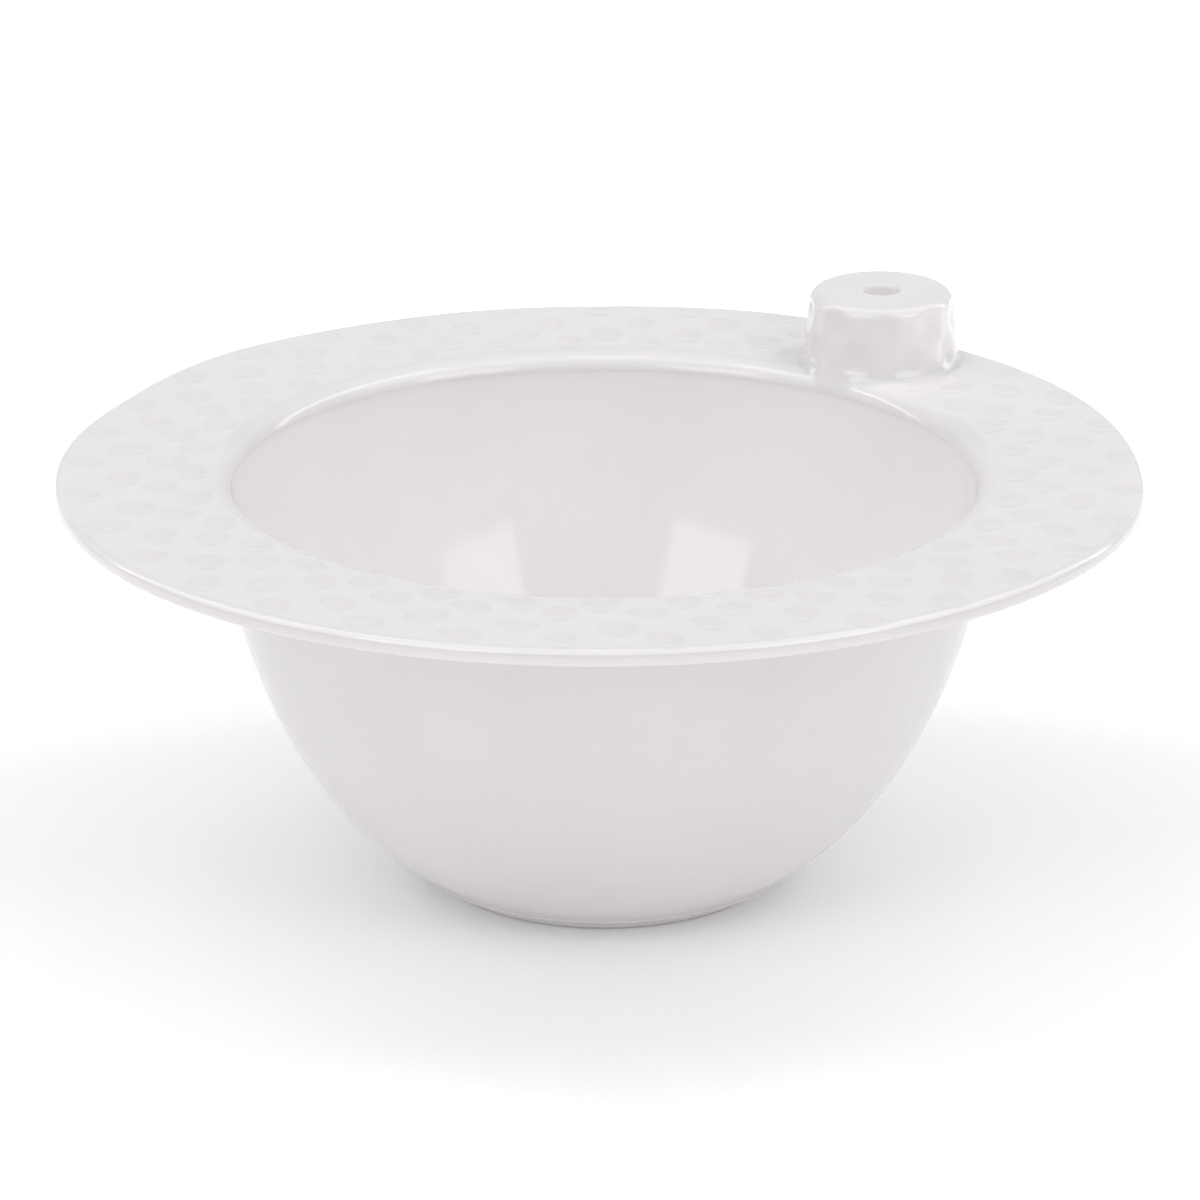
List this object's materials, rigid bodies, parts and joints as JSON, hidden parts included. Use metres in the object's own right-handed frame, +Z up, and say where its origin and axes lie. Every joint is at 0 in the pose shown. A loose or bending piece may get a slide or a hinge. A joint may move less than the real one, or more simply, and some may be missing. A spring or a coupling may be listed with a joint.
{
  "type": "yarn bowl",
  "caption": "Deep round white glazed ceramic bowl with a wide flat dimpled rim, a foot ring and a hollow bored post that guides the working yarn.",
  "frame": {"origin": "on the bowl's axis, in the plane that the foot ring rests on", "axes": "+Z up along the bowl's axis; +X to the right and +Y to the back as the bowl is seen with its post at the back right, the post standing 51.5 degrees from +X towards +Y"},
  "size_m": [0.24, 0.24, 0.1115],
  "materials": {
    "bowl_body": "clear gloss glaze over white clay",
    "rim_flange": "clear gloss glaze over white clay",
    "foot_ring": "glazed sides, wiped bare where it rests",
    "yarn_post": "clear gloss glaze over white clay"
  },
  "bodies": {
    "root": {"bowl_body": "bowl_body", "rim_flange": "rim_flange", "foot_ring": "foot_ring", "yarn_post": "yarn_post"}
  },
  "joints": []
}
